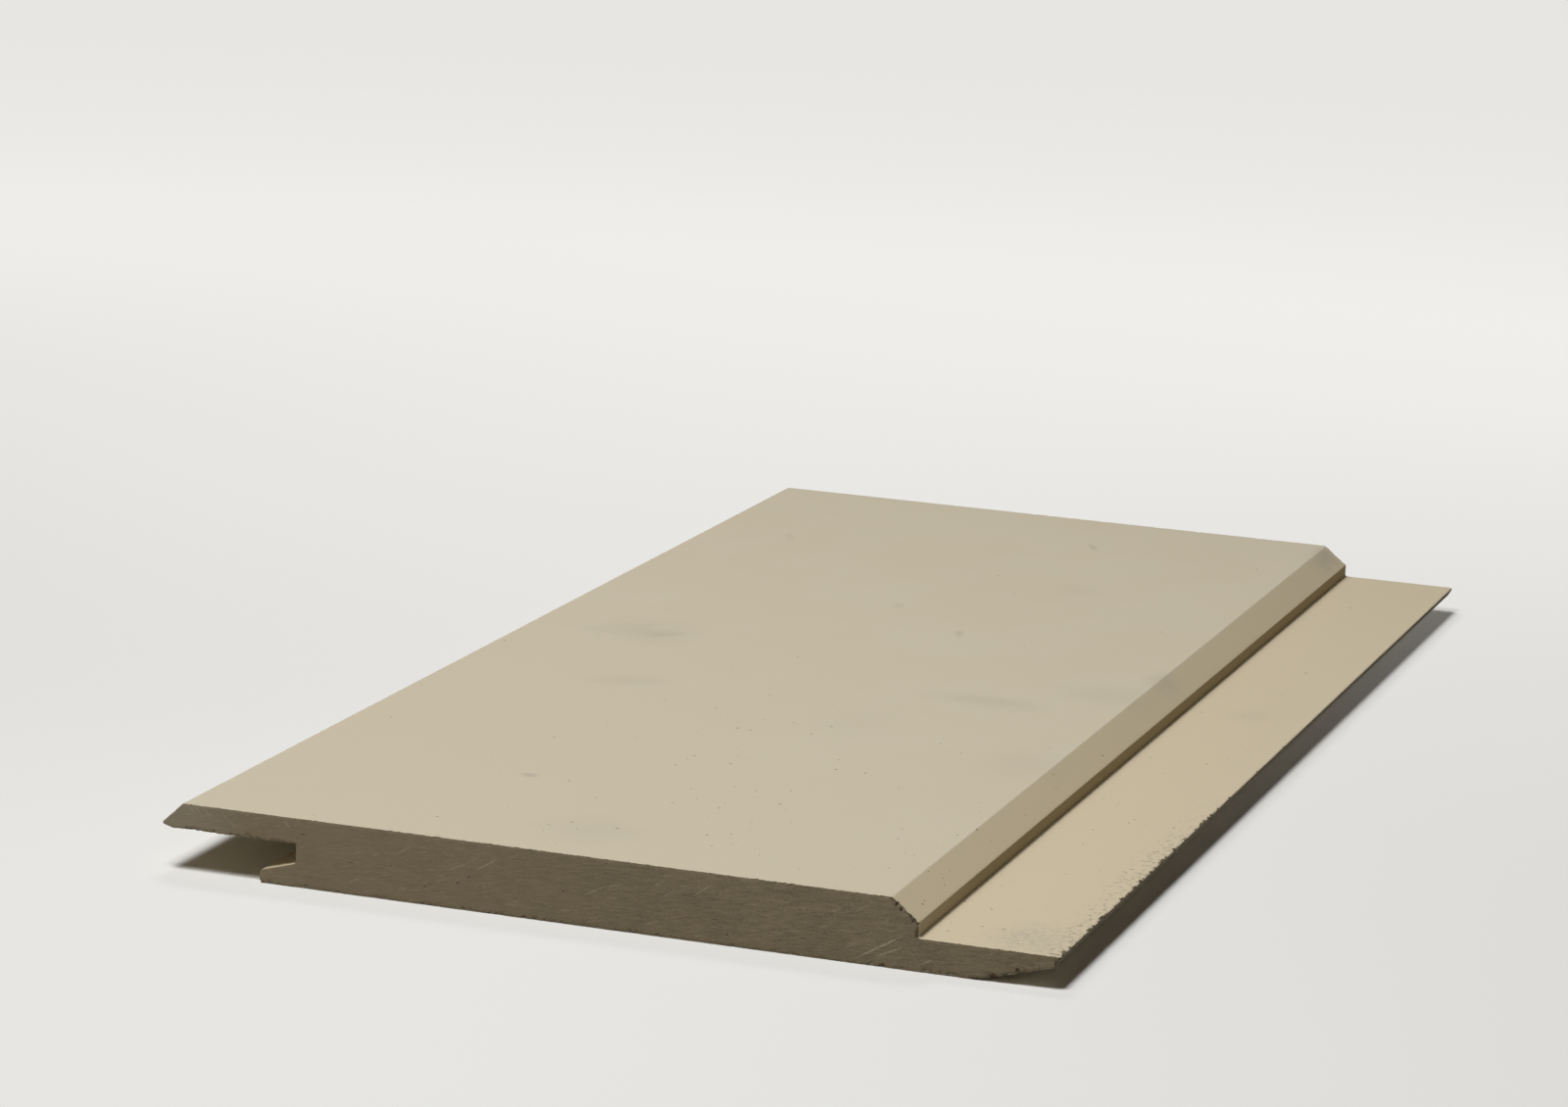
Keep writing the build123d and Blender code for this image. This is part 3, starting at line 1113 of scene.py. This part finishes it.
def sawn_material(finish, groups):
    """The sawn end: bare fibre cement with pits, light scratches, and dark crumbs with painted shade along
    its broken edges.

    It is greyer by the nose and, as painted shade, darker towards the tongue. Its layers are tilted a
    little, and they show more towards the tongue.
    """
    material, tree, shader, place = new_material("sawn_end", roughness=0.95, mirroring=0.05)
    layer_tilt = math.radians(7)
    turn = {"Vector": place, "Angle": layer_tilt}
    tilted = add_node(tree, "ShaderNodeVectorRotate", turn, rotation_type="Y_AXIS").outputs[0]
    across = add_node(tree, "ShaderNodeSeparateXYZ", {0: place}).outputs[0]
    # Painted shade: the end is painted darker towards the tongue, and darker still on the tongue's own end,
    # where less light falls.
    tone = remap(tree, across, -70 * MM, 10 * MM, 0.6, 0.54)
    cement = place_group(
        tree,
        groups["cement"],
        Vector=tilted,
        Dark=finish.cement_dark,
        Light=finish.cement_light,
        Contrast=remap(tree, across, -60 * MM, 50 * MM, 0.9, 2.1),
        Tone=calculate(tree, "SUBTRACT", tone, remap(tree, across, 68 * MM, 80 * MM, 0.0, 0.04)),
    )
    by_nose = remap(tree, across, BOARD_LOW.x + 6 * MM, BOARD_LOW.x + 22 * MM, 0.45, 0.0)
    pits, scratches = end_marks(tree, groups, place)
    worn = add_node(tree, "ShaderNodeAttribute", attribute_name="worn").outputs["Fac"]
    # Deep in the broken edges the end is darkened towards the pit colour: dark crumbs, and painted shade.
    deep = calculate(tree, "MULTIPLY", worn, remap(tree, worn, SHALLOW_WEAR, DEEP_WEAR, 0.35, 1.0))
    crumbs = remap(tree, noise(tree, place, 0.6 * MM, 2.0), 0.42, 0.58, 0.15, 0.7)
    colour = cement["Color"]
    for mask, strength, tint in (
        (by_nose, 1.0, finish.cement_grey),
        (scratches, 0.55, finish.cement_fresh),
        (pits, 0.8, finish.pit),
        (deep, crumbs, finish.pit),
    ):
        colour = mix_colours(tree, calculate(tree, "MULTIPLY", mask, strength), colour, tint)
    wire(tree, shader.inputs["Base Color"], colour)
    height = calculate(tree, "SUBTRACT", cement["Height"], pits)
    wire(tree, shader.inputs["Normal"], bump(tree, height, 0.1 * MM))
    return material


def back_material(finish, groups):
    """The plain back: bare fibre cement, sanded flat."""
    material, tree, shader, place = new_material("plain_back", roughness=0.85, mirroring=0.5)
    cement = place_group(
        tree,
        groups["cement"],
        Vector=stretch_vector(tree, place, (6.0, 0.6, 1.0)),
        Dark=finish.cement_light,
        Light=finish.cement_fresh,
        Contrast=0.8,
    )
    pits = place_group(tree, groups["specks"], Vector=place, Spacing=8 * MM, Size=0.07, Share=0.5)["Mask"]
    colour = mix_colours(tree, calculate(tree, "MULTIPLY", pits, 0.5), cement["Color"], finish.pinhole)
    wire(tree, shader.inputs["Base Color"], colour)
    wire(tree, shader.inputs["Normal"], bump(tree, cement["Height"], 0.04 * MM))
    return material


class SIDING_OT_make_board(bpy.types.Operator):
    """Make the siding board with its worn edges and its finish"""

    bl_idname = "siding.make_board"
    bl_label = "Make board"

    def execute(self, context):
        wear = context.scene.siding_wear
        finish = context.scene.siding_finish
        corners = section_corners(context.scene.siding_section)
        outline = Outline(corners)
        plain, triangles = plain_board(outline, wear)
        points, worn = worn_board(plain, outline, wear, corners["tip_top"][1])
        finishes = face_finishes(plain, triangles)
        mesh = mesh_from_arrays("board", points + np.array(BOARD_LOW), triangles, finishes, worn)
        groups = {
            "specks": specks_group(),
            "smudge": smudge_group(),
            "cement": cement_group(),
            "mark": mark_group(),
        }
        across, up = corners["shoulder_top"][:2]
        mesh.materials.append(primer_material(finish, groups, (BOARD_LOW.x + across, up)))
        mesh.materials.append(sawn_material(finish, groups))
        mesh.materials.append(back_material(finish, groups))
        board = bpy.data.objects.new("board", mesh)
        context.scene.collection.objects.link(board)
        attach(board, "root")
        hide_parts("siding_board")
        return {"FINISHED"}


def seen_directly(tree):
    """1 for what is seen itself, mirrored or through a clear thing, and 0 for light that falls on things."""
    path = tree.nodes.new("ShaderNodeLightPath").outputs
    seen = calculate(tree, "MAXIMUM", path["Is Camera Ray"], path["Is Glossy Ray"])
    return calculate(tree, "MAXIMUM", seen, path["Is Transmission Ray"])


# The floor's half size, and how far it lies below the board. Its glow starts at one distance from the place
# that the lights make brightest, and is full at another.
FLOOR_HALF = 6.0
FLOOR_GAP = 0.03 * MM
BRIGHT_PLACE = (-0.1, -0.4, 0.0)
GLOW_START = 0.3
GLOW_END = 1.3
FULL_GLOW = 0.53


def floor_material(colour):
    """A plain matte floor that looks as pale far away as it does near the lights."""
    material, tree, shader, place = new_material("floor", roughness=1.0, mirroring=0.0)
    wire(tree, shader.inputs["Base Color"], colour)
    wire(tree, shader.inputs["Emission Color"], colour)
    away = vector_sum(tree, "DISTANCE", place, BRIGHT_PLACE)["Value"]
    glow = remap(tree, away, GLOW_START, GLOW_END, 0.0, FULL_GLOW)
    wire(tree, shader.inputs["Emission Strength"], calculate(tree, "MULTIPLY", glow, seen_directly(tree)))
    return material


def make_floor(stage):
    """A flat square under the board, just clear of it."""
    level = BOARD_LOW.z - FLOOR_GAP
    around = ((-1, -1), (1, -1), (1, 1), (-1, 1))
    corners = [(across * FLOOR_HALF, along * FLOOR_HALF, level) for across, along in around]
    mesh = bpy.data.meshes.new("floor")
    mesh.from_pydata(corners, [], [(0, 1, 2, 3)])
    mesh.materials.append(floor_material(stage.floor))
    return bpy.data.objects.new("floor", mesh)


SENSOR_WIDTH = 36


def make_camera(stage):
    """A camera at the angles of the stage, looking at its aim."""
    data = bpy.data.cameras.new("camera")
    data.sensor_fit = "HORIZONTAL"
    data.sensor_width = SENSOR_WIDTH
    data.lens = stage.lens
    data.clip_start = 0.05
    level = math.cos(stage.elevation)
    forward = Vector(
        (-math.sin(stage.azimuth) * level, math.cos(stage.azimuth) * level, -math.sin(stage.elevation))
    )
    right = Matrix.Rotation(-stage.roll, 3, forward) @ forward.cross(Vector((0, 0, 1))).normalized()
    turn = Matrix((right, right.cross(forward), -forward)).transposed()
    camera = bpy.data.objects.new("camera", data)
    camera.matrix_world = Matrix.LocRotScale(Vector(stage.aim) - forward * stage.distance, turn, None)
    return camera


def make_key_light(stage):
    """A wide sun that leans to the lip side and the near end, and leaves the shoulder's wall in shade."""
    data = bpy.data.lights.new("key", "SUN")
    data.energy = stage.key_strength
    data.angle = stage.key_angle
    light = bpy.data.objects.new("key", data)
    towards = Vector((-math.tan(stage.key_tilt), -math.tan(stage.key_front), 1))
    light.rotation_mode = "QUATERNION"
    light.rotation_quaternion = towards.to_track_quat("Z", "Y")
    return light


def make_area_light(name, place, width, power):
    """A square light that faces the board's middle and falls off with distance."""
    data = bpy.data.lights.new(name, "AREA")
    data.energy = power
    data.size = width
    light = bpy.data.objects.new(name, data)
    light.location = place
    light.rotation_mode = "QUATERNION"
    light.rotation_quaternion = Vector(place).to_track_quat("Z", "Y")
    return light


def make_world(stage):
    """Soft light from all round. Where it is seen directly, the floor's colour shows at full strength."""
    world = bpy.data.worlds.new("studio")
    world.use_nodes = True
    tree = world.node_tree
    background = tree.nodes["Background"]
    strength = add_node(tree, "ShaderNodeMix", {0: seen_directly(tree), 2: stage.ambient, 3: 1.0})
    wire(tree, background.inputs["Color"], stage.floor)
    wire(tree, background.inputs["Strength"], strength.outputs[0])
    return world


class SIDING_OT_make_stage(bpy.types.Operator):
    """Make the floor, the light and the camera"""

    bl_idname = "siding.make_stage"
    bl_label = "Make stage"

    def execute(self, context):
        scene = context.scene
        stage = scene.siding_stage
        floor = make_floor(stage)
        camera = make_camera(stage)
        near_light = make_area_light("near", stage.near_place, stage.near_width, stage.near_power)
        far_light = make_area_light("far", stage.far_place, stage.far_width, stage.far_power)
        for item in (floor, camera, make_key_light(stage), near_light, far_light):
            scene.collection.objects.link(item)
        scene.camera = camera
        scene.world = make_world(stage)
        scene.view_settings.view_transform = "Standard"
        return {"FINISHED"}


class SIDING_PT_panel(bpy.types.Panel):
    """Sizes, wear, colours and stage of the siding board, and the steps that make it"""

    bl_idname = "SIDING_PT_panel"
    bl_label = "Siding board"
    bl_space_type = "VIEW_3D"
    bl_region_type = "UI"
    bl_category = "Siding"

    def draw(self, context):
        for setting in SETTINGS:
            box = self.layout.box()
            group = getattr(context.scene, setting)
            for name in group.__annotations__:
                box.prop(group, name)
        for operator in (SIDING_OT_make_board, SIDING_OT_make_stage):
            self.layout.operator(operator.bl_idname)


SETTINGS = {
    "siding_section": SidingSection,
    "siding_wear": SidingWear,
    "siding_finish": SidingFinish,
    "siding_stage": SidingStage,
}
CLASSES = (*SETTINGS.values(), SIDING_OT_make_board, SIDING_OT_make_stage, SIDING_PT_panel)


def register():
    for item in CLASSES:
        bpy.utils.register_class(item)
    for name, group in SETTINGS.items():
        setattr(bpy.types.Scene, name, PointerProperty(type=group))


def unregister():
    for name in SETTINGS:
        delattr(bpy.types.Scene, name)
    for item in reversed(CLASSES):
        bpy.utils.unregister_class(item)


def main():
    """Make the board and its stage."""
    register()
    bpy.ops.siding.make_board()
    bpy.ops.siding.make_stage()


if __name__ == "__main__":
    main()
